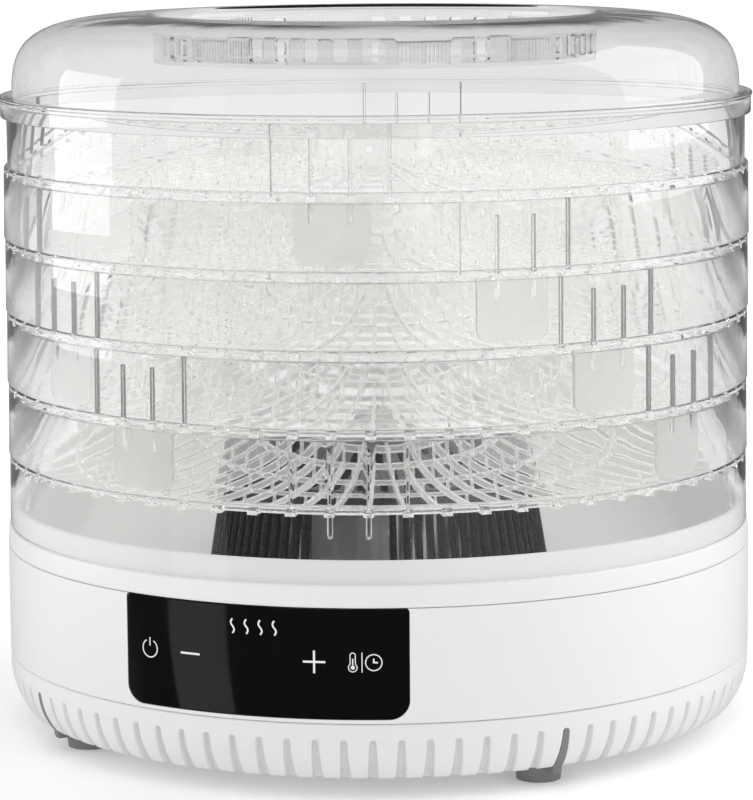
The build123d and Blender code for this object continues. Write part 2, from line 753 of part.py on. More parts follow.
with BuildPart() as lid_dome:
    outer = dome_outline(0)
    inner = dome_outline(LID_WALL)
    shelf = LID_FLANGE_TOP - 2.8
    with BuildSketch(Plane.XZ):
        with BuildLine():
            Polyline((TRAY_SKIRT_IN, LID_FLANGE_BOTTOM), (164.5, LID_FLANGE_BOTTOM),
                     (164.5, LID_FLANGE_TOP - 1.6), (164.9, LID_FLANGE_TOP - 1.2),
                     (164.9, LID_FLANGE_TOP - 0.4), (164.5, LID_FLANGE_TOP), outer[0], outer[1])
            ThreePointArc(outer[1], outer[2], outer[3])
            ThreePointArc(outer[3], (120.0, 311.6), outer[4])
            ThreePointArc(outer[4], (96.2, LID_TOP - 1.2), (WELL_R, LID_TOP - 4))
            Polyline((WELL_R, LID_TOP - 4), (WELL_R, WELL_FLOOR - LID_WALL),
                     (WELL_R + LID_WALL, WELL_FLOOR - LID_WALL), (WELL_R + LID_WALL, LID_TOP - 5))
            ThreePointArc((WELL_R + LID_WALL, LID_TOP - 5), (98.0, LID_TOP - 2.9), inner[4])
            ThreePointArc(inner[4], (119.5, 311.6 - LID_WALL), inner[3])
            ThreePointArc(inner[3], inner[2], inner[1])
            Polyline(inner[1], (LID_SIDE_R - LID_WALL, shelf), (TRAY_SKIRT_IN, shelf),
                     (TRAY_SKIRT_IN, LID_FLANGE_BOTTOM))
        make_face()
    revolve(axis=Axis.Z)
    add(lid_windows().part, mode=Mode.SUBTRACT)

with BuildPart() as well_floor:
    with BuildSketch(Plane.XY.offset(WELL_FLOOR - LID_WALL)):
        Circle(WELL_R)
    extrude(amount=LID_WALL)
save_sections([lid_dome.part, well_floor.part], "lid")
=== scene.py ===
import json
from math import cos, pi, radians, sin, sqrt

import bmesh
import bpy
from mathutils import Matrix, Vector


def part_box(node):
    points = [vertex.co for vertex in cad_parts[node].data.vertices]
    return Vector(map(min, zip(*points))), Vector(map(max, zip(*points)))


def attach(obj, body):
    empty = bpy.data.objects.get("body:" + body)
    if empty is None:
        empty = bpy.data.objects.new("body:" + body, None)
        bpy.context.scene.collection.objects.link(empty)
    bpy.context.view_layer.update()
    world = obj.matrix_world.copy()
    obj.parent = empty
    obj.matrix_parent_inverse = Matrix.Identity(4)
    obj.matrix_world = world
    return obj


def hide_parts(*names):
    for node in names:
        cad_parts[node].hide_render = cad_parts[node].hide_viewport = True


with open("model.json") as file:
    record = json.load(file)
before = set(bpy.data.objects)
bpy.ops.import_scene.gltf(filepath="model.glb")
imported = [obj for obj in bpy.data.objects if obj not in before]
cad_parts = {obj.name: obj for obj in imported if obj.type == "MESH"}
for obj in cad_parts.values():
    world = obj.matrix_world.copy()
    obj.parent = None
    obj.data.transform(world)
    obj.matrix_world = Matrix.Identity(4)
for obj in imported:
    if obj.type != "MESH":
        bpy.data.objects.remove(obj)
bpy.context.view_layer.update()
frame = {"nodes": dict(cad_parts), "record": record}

# Food dehydrator. Shapes are worked out in millimetres about the stack's
# axis, Z, and written to their meshes in metres. Azimuths are degrees from
# the control panel, -Y, towards +X.

MM = 0.001


# ------------------------------------------------------------ frame's sizes
def span(node):
    """Lowest and highest corner of a CAD node, in millimetres."""
    low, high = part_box(node)
    return low / MM, high / MM


GAP = 0.3                                        # between mouldings that rest on each other
TRAY_COUNT = 5
TRAY_TURNS = (13.2, -20.2, -36.7, 37.6, 10.9)    # lowest tray first
UPPER_WALL = 27.2                                # upper wall above a tray's shoulder
DECK_RIM = 18.9                                  # deck's rim from parting line to collar's top
SHOULDERS = [span(f"tray_{k}")[1].z - UPPER_WALL for k in range(1, TRAY_COUNT + 1)]
PITCH = (SHOULDERS[-1] - SHOULDERS[0]) / (TRAY_COUNT - 1)
BODY_R = span("base_shell")[1].x
VENT_LINE = span("base_shell")[0].z
SHOULDER = SHOULDERS[0] - PITCH
COLLAR_TOP = span("top_deck")[1].z
PARTING = COLLAR_TOP - DECK_RIM
PLATE_BOTTOM = span("lower_housing")[0].z
GRILLE_LOW, GRILLE_TOP = span("air_grille")[0].z, span("air_grille")[1].z
LID_BOTTOM, LID_TOP = span("lid")[0].z, span("lid")[1].z
PANEL_LOW, PANEL_HIGH = span("control_panel")


# ------------------------------------------------------------- mesh helpers
# A shell is (points, faces): one or more closed surfaces, in millimetres.
def facing(azimuth):
    """Upright plane through the axis: local x along the wall, y up, z outwards."""
    a = radians(azimuth)
    return Matrix(((cos(a), 0, sin(a), 0), (sin(a), 0, -cos(a), 0), (0, 1, 0, 0), (0, 0, 0, 1)))


def plan(azimuth):
    """Level plane: local x outwards at an azimuth, y along the wall, z up."""
    return Matrix.Rotation(radians(azimuth - 90), 4, "Z")


def moved(shell, place):
    points, faces = shell
    return [place @ Vector(p) for p in points], faces


def together(shells):
    """Several shells as one list of points and faces."""
    points, faces = [], []
    for more_points, more_faces in shells:
        start = len(points)
        points += more_points
        faces += [[start + i for i in face] for face in more_faces]
    return points, faces


def prism(outline, low, high, place=Matrix(), inset=None):
    """Outline pulled up from low to high; inset gives another outline for the top."""
    n = len(outline)
    top = inset or outline
    points = [Vector((x, y, low)) for x, y in outline] + [Vector((x, y, high)) for x, y in top]
    faces = [list(range(n))[::-1], list(range(n, 2 * n))]
    faces += [[i, (i + 1) % n, n + (i + 1) % n, n + i] for i in range(n)]
    return moved((points, faces), place)


def turned(outline, steps=360):
    """Closed outline of (radius, height) turned about the axis."""
    points, rows = [], []
    for radius, height in outline:
        if radius < 1e-6:
            rows.append([len(points)] * steps)
            points.append(Vector((0, 0, height)))
            continue
        rows.append(list(range(len(points), len(points) + steps)))
        for k in range(steps):
            a = 2 * pi * k / steps
            points.append(Vector((radius * cos(a), radius * sin(a), height)))
    faces = []
    for this, after in zip(rows, rows[1:] + rows[:1]):
        if this[0] == this[1] and after[0] == after[1]:
            continue
        for k in range(steps):
            corners = [this[k], this[(k + 1) % steps], after[(k + 1) % steps], after[k]]
            faces.append(list(dict.fromkeys(corners)))
    return points, faces


def rounded(corners, steps=5):
    """Outline from (x, y, radius) corners, each rounded by its radius."""
    outline = []
    count = len(corners)
    for i, (x, y, radius) in enumerate(corners):
        here = Vector((x, y))
        before = Vector(corners[i - 1][:2]) - here
        after = Vector(corners[(i + 1) % count][:2]) - here
        if radius == 0:
            outline.append((x, y))
            continue
        half = before.angle(after) / 2
        middle = here + (before.normalized() + after.normalized()).normalized() * radius / sin(half)
        reach = radius * cos(half) / sin(half)
        start = here + before.normalized() * reach - middle
        end = here + after.normalized() * reach - middle
        for s in range(steps + 1):
            share = s / steps
            spoke = start * (1 - share) + end * share
            outline.append(tuple(middle + spoke.normalized() * radius))
    return outline


def bezier(a, b, c, d, steps):
    """Points on a cubic curve, both ends included."""
    points = []
    for s in range(steps + 1):
        t = s / steps
        u = 1 - t
        weights = (u ** 3, 3 * u * u * t, 3 * u * t * t, t ** 3)
        points.append(tuple(sum(w * p[i] for w, p in zip(weights, (a, b, c, d))) for i in (0, 1)))
    return points


def mesh_of(shell):
    """Mesh in metres with its faces turned outwards."""
    points, faces = shell
    mesh = bpy.data.meshes.new("shape")
    mesh.from_pydata([Vector(p) * MM for p in points], [], faces)
    shape = bmesh.new()
    shape.from_mesh(mesh)
    bmesh.ops.recalc_face_normals(shape, faces=shape.faces)
    shape.to_mesh(mesh)
    shape.free()
    return mesh


def carved(shell, *steps):
    """Mesh of a shell after boolean steps, each an operation and another shell."""
    body = bpy.data.objects.new("body", mesh_of(shell))
    bpy.context.scene.collection.objects.link(body)
    tools = []
    for operation, other in steps:
        tool = bpy.data.objects.new("tool", mesh_of(other))
        bpy.context.scene.collection.objects.link(tool)
        step = body.modifiers.new(operation, "BOOLEAN")
        step.operation, step.solver, step.object = operation, "MANIFOLD", tool
        tools.append(tool)
    graph = bpy.context.evaluated_depsgraph_get()
    result = bpy.data.meshes.new_from_object(body.evaluated_get(graph))
    for spent in (body, *tools):
        bpy.data.objects.remove(spent)
    result.materials.clear()
    return result


def piece(name, mesh, body, slot, *replaced, smooth=35):
    """Shown object made of a mesh, riding on a body and replacing CAD nodes."""
    thing = bpy.data.objects.new(name, mesh)
    bpy.context.scene.collection.objects.link(thing)
    mesh.shade_smooth()
    mesh.set_sharp_from_angle(angle=radians(smooth))
    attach(thing, body)
    if replaced:
        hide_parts(*replaced)
    if not mesh.materials:
        mesh.materials.append(MATERIALS[slot])
    return thing


# ---------------------------------------------------------------- materials
def shader_tree(name):
    material = bpy.data.materials.new(name)
    material.use_nodes = True
    tree = material.node_tree
    return material, tree, tree.nodes["Principled BSDF"]


def noise(tree, scale, detail=3.0):
    """Noise in object space, so that it stays on the moulding."""
    place = tree.nodes.new("ShaderNodeTexCoord")
    texture = tree.nodes.new("ShaderNodeTexNoise")
    texture.inputs["Scale"].default_value = scale
    texture.inputs["Detail"].default_value = detail
    tree.links.new(place.outputs["Object"], texture.inputs["Vector"])
    return texture.outputs["Fac"]


def spread(tree, value, low, high):
    """Noise value mapped onto a range."""
    remap = tree.nodes.new("ShaderNodeMapRange")
    remap.inputs["To Min"].default_value = low
    remap.inputs["To Max"].default_value = high
    tree.links.new(value, remap.inputs["Value"])
    return remap.outputs["Result"]


def bump(tree, shader, value, strength, distance):
    node = tree.nodes.new("ShaderNodeBump")
    node.inputs["Strength"].default_value = strength
    node.inputs["Distance"].default_value = distance
    tree.links.new(value, node.inputs["Height"])
    tree.links.new(node.outputs["Normal"], shader.inputs["Normal"])


def solid_plastic(name, colour, rough, texture_scale=900, texture=0.08, vary=0.02, specular=0.5):
    """Moulded plastic: slight colour drift, uneven gloss and a fine skin texture."""
    material, tree, shader = shader_tree(name)
    shader.inputs["Specular IOR Level"].default_value = specular
    drift = noise(tree, 14, 2)
    mix = tree.nodes.new("ShaderNodeMix")
    mix.data_type = "RGBA"
    mix.inputs["A"].default_value = (*[c * (1 - vary) for c in colour], 1)
    mix.inputs["B"].default_value = (*[min(1, c * (1 + vary)) for c in colour], 1)
    tree.links.new(drift, mix.inputs["Factor"])
    tree.links.new(mix.outputs["Result"], shader.inputs["Base Color"])
    skin = noise(tree, texture_scale, 4)
    tree.links.new(spread(tree, skin, rough - 0.05, rough + 0.05), shader.inputs["Roughness"])
    bump(tree, shader, skin, texture, 0.0002)
    return material


def metal(name, colour, rough, scale=600):
    material, tree, shader = shader_tree(name)
    shader.inputs["Metallic"].default_value = 1.0
    shader.inputs["Base Color"].default_value = (*colour, 1)
    grain = noise(tree, scale, 4)
    tree.links.new(spread(tree, grain, rough - 0.08, rough + 0.12), shader.inputs["Roughness"])
    bump(tree, shader, grain, 0.1, 0.0002)
    return material


def clear_plastic(name, rough=0.0, tint=(0.996, 0.995, 0.992), clearness=1.0):
    """Clear polymer, milky if its clearness is under 1.

    Lamps and diffuse light pass it straight, so that what it holds stays lit.
    """
    material, tree, shader = shader_tree(name)
    shader.inputs["Base Color"].default_value = (*tint, 1)
    shader.inputs["Transmission Weight"].default_value = clearness
    shader.inputs["IOR"].default_value = 1.5
    flow = noise(tree, 60, 2)
    tree.links.new(spread(tree, flow, rough, rough + 0.03), shader.inputs["Roughness"])
    bump(tree, shader, noise(tree, 35, 1), 0.025, 0.002)
    light = tree.nodes.new("ShaderNodeLightPath")
    either = tree.nodes.new("ShaderNodeMath")
    either.operation = "MAXIMUM"
    tree.links.new(light.outputs["Is Shadow Ray"], either.inputs[0])
    tree.links.new(light.outputs["Is Diffuse Ray"], either.inputs[1])
    passing = tree.nodes.new("ShaderNodeBsdfTransparent")
    passing.inputs["Color"].default_value = (0.97, 0.97, 0.968, 1)
    mix = tree.nodes.new("ShaderNodeMixShader")
    tree.links.new(either.outputs[0], mix.inputs["Fac"])
    tree.links.new(shader.outputs["BSDF"], mix.inputs[1])
    tree.links.new(passing.outputs["BSDF"], mix.inputs[2])
    tree.links.new(mix.outputs["Shader"], tree.nodes["Material Output"].inputs["Surface"])
    return material


MATERIALS = {
    "white_abs": solid_plastic("white_abs", (0.80, 0.80, 0.795), 0.30),
    "black_abs": solid_plastic("black_abs", (0.005, 0.005, 0.0055), 0.28, specular=0.25),
    "black_gloss": solid_plastic("black_gloss", (0.0018, 0.0018, 0.002), 0.07, 60, 0.01),
    "circuit_board": solid_plastic("circuit_board", (0.015, 0.10, 0.035), 0.45, 400, 0.2, 0.15),
    "display_black": solid_plastic("display_black", (0.01, 0.01, 0.012), 0.25),
    "touch_foam": solid_plastic("touch_foam", (0.10, 0.10, 0.11), 0.85, 1500, 0.6, 0.1),
    "component_black": solid_plastic("component_black", (0.02, 0.02, 0.022), 0.5, 700, 0.2, 0.1),
    "lead_white": solid_plastic("lead_white", (0.70, 0.70, 0.68), 0.45),
    "rubber_grey": solid_plastic("rubber_grey", (0.22, 0.22, 0.225), 0.65, 1200, 0.25, 0.06),
    "motor_steel": metal("motor_steel", (0.55, 0.55, 0.56), 0.35),
    "screw_steel": metal("screw_steel", (0.62, 0.62, 0.63), 0.28, 1500),
    "mica": solid_plastic("mica", (0.52, 0.45, 0.33), 0.40, 250, 0.3, 0.2),
    "heater_wire": metal("heater_wire", (0.42, 0.36, 0.30), 0.45),
    "shield_aluminium": metal("shield_aluminium", (0.80, 0.81, 0.82), 0.22, 300),
    "fan_plastic": solid_plastic("fan_plastic", (0.05, 0.05, 0.055), 0.38),
    "clear_plastic": clear_plastic("clear_plastic"),
}
FROSTED = clear_plastic("clear_plastic_frosted", 0.18, (0.95, 0.949, 0.945))
SMOKY = clear_plastic("clear_plastic_lid", 0.0, (0.915, 0.914, 0.91))
MILKY = clear_plastic("clear_plastic_grid", 0.02, (0.96, 0.959, 0.955), 0.74)
# painted shade: dark, half-clear plastic for the ribs' sides stands in for the dark lines that bent
# light draws at the ribs' edges
RIB_SIDE_PAINTED_SHADE = clear_plastic("clear_plastic_rib_sides_painted_shade", 0.0, (0.2, 0.2, 0.2), 0.55)
WHITE_PRINT = solid_plastic("key_print", (0.85, 0.85, 0.85), 0.4)


# ------------------------------------------------------------------- camera
def make_camera():
    distance, azimuth, height = 1521.7, 17.4, 370.6
    pitch, roll = radians(8.61), radians(0.42)
    a = radians(azimuth)
    data = bpy.data.cameras.new("camera")
    data.lens = 155.2
    data.shift_x = -0.0014
    data.clip_end = 100
    camera = bpy.data.objects.new("camera", data)
    bpy.context.scene.collection.objects.link(camera)
    camera.location = Vector((distance * sin(a), -distance * cos(a), height)) * MM
    turn = Matrix.Rotation(a, 3, "Z") @ Matrix.Rotation(pi / 2 - pitch, 3, "X")
    camera.rotation_euler = (turn @ Matrix.Rotation(-roll, 3, "Z")).to_euler()
    bpy.context.scene.camera = camera


make_camera()

# -------------------------------------------------------------------- trays
SPOKES = 64
SPOKE_STEP = 360 / SPOKES
RING_RADII = (40.7, 52.3, 67.0, 86.6, 108.6, 134.9)
HALVED_R = 67.0                        # inside it every second spoke is left out
FLOOR_LOW = -4.0                       # heights of the floor are from the shoulder
GRID_LOW = -3.6
SPOKE_TOP = -1.9
RING_TOP = -2.4
NUB_TOP = 0.8
HALF_RING = 0.75
HALF_NUB = 0.6
BAND_IN, BAND_OUT = 150.6, 157.0       # ring that the spokes end in
STEP_LOW = -2.2                        # underside of the step from skirt to wall
RIB_IN, RIB_ROOT = 157.9, 160.4
RIB_HALF, PEG_HALF = 0.85, 1.2
RIB_TAPER = 0.26                       # share of a rib's width lost for each millimetre inwards
SHORT_RIB_TOP = 21.5
WALL_IN, WALL_OUT = 159.9, 161.9
SKIRT_IN = 162.2
HUB_IN, HUB_OUT, HUB_TOP = 25.0, 27.0, 13.0
QUARTERS = (0, 90, 180, 270)


def wedge(start, end, half_start, half_end, low, high, azimuth, draft=0.35):
    """Bar that runs outwards, with sides that lean in towards its top."""
    lower = [(start, -half_start), (end, -half_end), (end, half_end), (start, half_start)]
    upper = [(start, draft - half_start), (end, draft - half_end),
             (end, half_end - draft), (start, half_start - draft)]
    return prism(lower, low, high, plan(azimuth), upper)


def hoop(inner, outer, low, high, draft=0.0):
    return turned([(inner, low), (outer, low), (outer - draft, high), (inner + draft, high)])


def spoke_half(radius):
    """Half a spoke's width: it widens on its way out."""
    return 0.65 + 0.5 * (radius - HUB_OUT) / (BAND_IN - HUB_OUT)


def tray_spokes():
    spokes = []
    for k in range(SPOKES):
        start = HUB_OUT - 0.8 if k % 2 else HALVED_R
        azimuth = (k + 0.5) * SPOKE_STEP
        spokes.append(wedge(start, BAND_IN + 0.8, spoke_half(start), spoke_half(BAND_IN),
                            GRID_LOW, SPOKE_TOP, azimuth, 0.2))
    return together(spokes)


def tray_rings():
    return together([hoop(r - HALF_RING, r + HALF_RING, GRID_LOW + 0.1, RING_TOP, 0.15)
                     for r in RING_RADII])


def tray_nubs():
    """Small pegs that keep food off the grid, where rings and spokes cross."""
    nubs = []
    for radius in RING_RADII:
        for k in range(SPOKES):
            if radius < HALVED_R and k % 2 == 0:
                continue
            nubs.append(wedge(radius - HALF_NUB, radius + HALF_NUB, HALF_NUB, HALF_NUB,
                              SPOKE_TOP - 0.5, NUB_TOP, (k + 0.5) * SPOKE_STEP, 0.12))
    return together(nubs)


def tray_posts():
    """Blocks under the step that join the floor's band to the skirt."""
    return together([wedge(BAND_OUT - 1.0, SKIRT_IN + 0.6, 2.2, 2.2, FLOOR_LOW, -1.9,
                           (k + 0.5) * SPOKE_STEP, 0.2) for k in range(SPOKES)])


def tray_ribs():
    """Four ribs inside the wall at each quarter; the middle two end lower, as pegs below."""
    ribs = []
    for quarter in QUARTERS:
        for step in (-1.5, -0.5, 0.5, 1.5):
            place = facing(quarter + step * SPOKE_STEP)
            short = abs(step) < 1
            top = SHORT_RIB_TOP if short else UPPER_WALL - 0.05
            side = rounded([(RIB_IN, -3.0, 0), (RIB_ROOT, -3.0, 0), (RIB_ROOT, top, 0),
                            (RIB_IN + 0.4, top, 0.9 if short else 0.3), (RIB_IN + 0.2, 0, 0)])
            ribs.append(upright(side, RIB_HALF, place))
            if short:
                peg = [(RIB_IN, -2.6), (159.5, -2.6), (159.4, -11), (158.6, -13.5), (RIB_IN, -11)]
                ribs.append(upright(peg, PEG_HALF, place))
    return together(ribs)


def upright(side, half, place):
    """Plate on edge: side is its (radius, height) outline; it thins from half at the wall."""
    root = max(radius for radius, height in side)
    halves = [half * (1 - RIB_TAPER * (root - radius)) for radius, height in side]
    points = [Vector((share * wide, height, radius)) for share in (-1, 1)
              for (radius, height), wide in zip(side, halves)]
    n = len(side)
    faces = [list(range(n))[::-1], list(range(n, 2 * n))]
    faces += [[i, (i + 1) % n, n + (i + 1) % n, n + i] for i in range(n)]
    return moved((points, faces), place)


def tray_mesh():
    skirt_low = GAP - PITCH
    wall = rounded([(SKIRT_IN, skirt_low, 0.5), (164.0, skirt_low, 0.5), (163.5, 0, 1.2),
                    (WALL_OUT, 0, 0), (WALL_OUT, UPPER_WALL, 0.5), (WALL_IN, UPPER_WALL, 0.5),
                    (WALL_IN, STEP_LOW, 0), (SKIRT_IN, STEP_LOW, 0)])
    hub_slots = together([wedge(HUB_IN - 2, HUB_OUT + 2, 1.5, 1.5, 0, HUB_TOP - 2, azimuth, 0)
                          for azimuth in range(0, 360, 45)])
    hub = turned(rounded([(HUB_IN, FLOOR_LOW, 0), (HUB_OUT, FLOOR_LOW, 0),
                          (HUB_OUT - 0.4, HUB_TOP, 0.5), (HUB_IN + 0.3, HUB_TOP, 0.5)]), 128)
    return carved(turned(wall),
                  ("UNION", hoop(BAND_IN, BAND_OUT, FLOOR_LOW, -2.1)),
                  ("UNION", tray_posts()),
                  ("UNION", tray_spokes()),
                  ("UNION", tray_rings()),
                  ("UNION", tray_nubs()),
                  ("UNION", hub),
                  ("DIFFERENCE", hub_slots),
                  ("UNION", tray_ribs()))


def tab_mesh():
    """Frosted tabs that hang under the floor, one below each group of ribs."""
    inner, outer, half_turn, low, top = 156.0, 157.6, 5.6, -29.5, FLOOR_LOW - 0.02
    half = outer * sin(radians(half_turn))
    outline = rounded([(-half, low, 5), (half, low, 5), (half, top, 0), (-half, top, 0)])
    blanks = together([prism(outline, 140, 170, facing(quarter)) for quarter in QUARTERS])
    return carved(hoop(inner, outer, low - 1.5, top + 0.01), ("INTERSECT", blanks))


def finish_tray(mesh):
    """Clear walls, a slightly milky floor, and painted shade on the ribs' sides: dark plastic for
    the dark lines that bent light draws there.
    """
    floor_slot, painted_shade_slot = 1, 2
    for material in (MATERIALS["clear_plastic"], MILKY, RIB_SIDE_PAINTED_SHADE):
        mesh.materials.append(material)
    for face in mesh.polygons:
        radius = face.center.xy.length / MM
        sideways = abs(face.center.xy.normalized().cross(face.normal.xy)) > 0.6
        if radius < BAND_OUT - 0.2:
            face.material_index = floor_slot
        # the ribs' sides get the painted shade
        elif RIB_IN + 0.05 < radius < WALL_IN - 0.05 and sideways and face.center.z > 0:
            face.material_index = painted_shade_slot


tray_shape, tab_shape = tray_mesh(), tab_mesh()
finish_tray(tray_shape)
tab_shape.materials.append(FROSTED)
for number, (shoulder, turn) in enumerate(zip(SHOULDERS, TRAY_TURNS), 1):
    place = Matrix.Translation((0, 0, shoulder * MM)) @ Matrix.Rotation(radians(turn), 4, "Z")
    for name, shape, replaced in ((f"tray_{number}_moulding", tray_shape, [f"tray_{number}"]),
                                  (f"tray_{number}_tabs", tab_shape, [])):
        turned_shape = shape.copy()
        turned_shape.transform(place)
        piece(name, turned_shape, f"tray_{number}", "clear_plastic", *replaced)

# ---------------------------------------------------------------------- lid
LID_SIDE_R = 159.4
LID_WALL = 2.0
LID_EDGE_R = 164.5
WELL_R = 95.0
WELL_FLOOR = LID_TOP - 17.2
WINDOW_LOW, WINDOW_HIGH = LID_TOP - 16.0, LID_TOP - 5.8
WINDOW_HALF, WINDOW_STEP = 3.15, 7.4             # half width in mm, spacing in degrees


def lid_outline():
    flange_top = LID_BOTTOM + 8.9
    shelf = flange_top - 2.8
    outer = bezier((LID_SIDE_R, flange_top + 0.8), (159.6, 303), (150, LID_TOP), (99, LID_TOP), 36)
    rim = bezier((99, LID_TOP), (96.5, LID_TOP), (WELL_R, 311), (WELL_R, LID_TOP - 4), 6)[1:]
    under = bezier((WELL_R + LID_WALL, LID_TOP - 5), (WELL_R + LID_WALL, LID_TOP - 2.6),
                   (98.3, LID_TOP - LID_WALL), (100, LID_TOP - LID_WALL), 5)
    inner = bezier((100, LID_TOP - LID_WALL), (148.6, LID_TOP - LID_WALL), (157.6, 302),
                   (LID_SIDE_R - LID_WALL, flange_top), 36)[1:]
    lip = rounded([(SKIRT_IN, shelf, 0), (SKIRT_IN, LID_BOTTOM, 0.4), (LID_EDGE_R, LID_BOTTOM, 0.5),
                   (LID_EDGE_R, flange_top - 1.8, 0), (LID_EDGE_R + 0.5, flange_top - 1.2, 0.3),
                   (LID_EDGE_R + 0.5, flange_top, 0.5), (LID_SIDE_R, flange_top, 0)])
    well = [(WELL_R, WELL_FLOOR), (0, WELL_FLOOR), (0, WELL_FLOOR - LID_WALL),
            (WELL_R + LID_WALL, WELL_FLOOR - LID_WALL)]
    return lip + outer + rim + well + under + inner + [(LID_SIDE_R - LID_WALL, shelf)]


def lid_windows():
    """Air windows in the well's wall: five together in each quarter and one between."""
    corner = 1.2
    window = rounded([(-WINDOW_HALF, WINDOW_LOW, corner), (WINDOW_HALF, WINDOW_LOW, corner),
                      (WINDOW_HALF, WINDOW_HIGH, corner), (-WINDOW_HALF, WINDOW_HIGH, corner)])
    places = []
    for quarter in QUARTERS:
        places += [quarter + 1.5 + WINDOW_STEP * k for k in (-2, -1, 0, 1, 2)] + [quarter + 45]
    return together([prism(window, WELL_R - 5, WELL_R + 7, facing(a)) for a in places])


def lid_grips():
    """Fine upright ribs on the well's wall, for the fingers."""
    radius, sides, count = 0.45, 8, 14
    corners = [2 * pi * k / sides for k in range(sides)]
    outline = [(WELL_R + radius * cos(a), radius * sin(a)) for a in corners]
    return together([prism(outline, WINDOW_LOW - 0.5, WINDOW_HIGH + 0.8, plan(quarter + start + k))
                     for quarter in QUARTERS for start in (23, 54) for k in range(count)])


lid_shape = carved(turned(lid_outline()), ("DIFFERENCE", lid_windows()), ("UNION", lid_grips()))
lid_shape.materials.append(SMOKY)
piece("lid_dome", lid_shape, "lid", "clear_plastic", "lid")

# --------------------------------------------------------------------- base
CELLS = 88                             # grooves round the vented skirt
CELL_POINTS = 13                       # points across one groove and the land beside it
GROOVE_TOP, GROOVE_DEPTH = 26.0, 3.4
GROOVE_HALF_TOP, GROOVE_HALF_LOW = 1.35, 2.2
GROOVE_ROUND_Z = GROOVE_TOP - GROOVE_HALF_TOP
SKIRT_TOP = VENT_LINE - GAP
SKIRT_FOOT = 7.6                       # how far the skirt curves in at its foot
SHELL_WALL = 2.5
PLATE_TOP = PLATE_BOTTOM + 2.5
BOSS_R = 4.5


def circle_through(a, b, c):
    """Centre and radius of the circle through three (x, y) points."""
    (ax, ay), (bx, by), (cx, cy) = a, b, c
    d = 2 * (ax * (by - cy) + bx * (cy - ay) + cx * (ay - by))
    sa, sb, sc = ax * ax + ay * ay, bx * bx + by * by, cx * cx + cy * cy
    x = (sa * (by - cy) + sb * (cy - ay) + sc * (ay - by)) / d
    y = (sa * (cx - bx) + sb * (ax - cx) + sc * (bx - ax)) / d
    return x, y, sqrt((ax - x) ** 2 + (ay - y) ** 2)


def skirt_radius(height, inset=0.0):
    """Outer radius of the skirt's curved wall at a height."""
    foot_z = PLATE_BOTTOM + 0.5 * inset
    if height < foot_z:
        return BODY_R - SKIRT_FOOT - inset
    x, y, radius = circle_through((BODY_R - 0.4 - inset, SKIRT_TOP), (BODY_R - 1.6 - inset, 18.5),
                                  (BODY_R - SKIRT_FOOT - inset, foot_z))
    return x + sqrt(max(0, radius ** 2 - (height - y) ** 2))


def lofted(rings):
    """Closed skin through rings of equally many points, the last joined to the first."""
    count = len(rings[0])
    points = [p for ring in rings for p in ring]
    faces = []
    for i in range(len(rings)):
        j = (i + 1) % len(rings)
        for k in range(count):
            after = (k + 1) % count
            faces.append([i * count + k, i * count + after, j * count + after, j * count + k])
    return points, faces


def groove_ring(height, lip=0.0):
    """Ring of points round the skirt, dipping into each groove at this height."""
    outer = skirt_radius(height) - lip
    core = skirt_radius(height, GROOVE_DEPTH)
    if height > GROOVE_ROUND_Z:
        half = sqrt(max(0, GROOVE_HALF_TOP ** 2 - (height - GROOVE_ROUND_Z) ** 2))
    else:
        share = (height - PLATE_BOTTOM) / (GROOVE_ROUND_Z - PLATE_BOTTOM)
        half = GROOVE_HALF_LOW + (GROOVE_HALF_TOP - GROOVE_HALF_LOW) * share
    deep = core if height < GROOVE_TOP else outer
    side = [(half + 1.6, outer), (half + 0.55, outer), (half + 0.2, max(deep, outer - 0.12)),
            (max(half, 0.12), max(deep, outer - 0.5)),
            (max(half - 0.06, 0.09), min(outer, deep + 0.4)), (max(half - 0.4, 0.04), deep)]
    offsets = [(-x, r) for x, r in side] + [(0, deep)] + side[::-1]
    ring = []
    for cell in range(CELLS):
        middle = 2 * pi * cell / CELLS - pi / 2
        for x, radius in offsets:
            angle = middle + x / outer
            ring.append(Vector((radius * cos(angle), radius * sin(angle), height)))
    return ring


def plain_ring(radius, height):
    """Round ring with as many points as a grooved one, its first point beside that one's."""
    count = CELLS * CELL_POINTS
    start = -pi / 2 - pi / CELLS + pi / count
    angles = [start + 2 * pi * k / count for k in range(count)]
    return [Vector((radius * cos(a), radius * sin(a), height)) for a in angles]


def radial_slots(radius, count, length, width, low, high):
    """Ring of slots with rounded ends, each along a radius."""
    half, start, end = width / 2, radius - length / 2, radius + length / 2
    corner = half * 0.98
    outline = rounded([(start, -half, corner), (end, -half, corner),
                       (end, half, corner), (start, half, corner)], 4)
    return [prism(outline, low, high, Matrix.Rotation(2 * pi * k / count, 4, "Z"))
            for k in range(count)]


def rod(radius, low, high, place):
    """Round bar along the place's own z."""
    sides = 32
    corners = [2 * pi * k / sides for k in range(sides)]
    return prism([(radius * cos(a), radius * sin(a)) for a in corners], low, high, place)


def standing(azimuth, radius):
    """Place on the axis's height scale, out at a radius."""
    return Matrix.Translation(plan(azimuth) @ Vector((radius, 0, 0)))


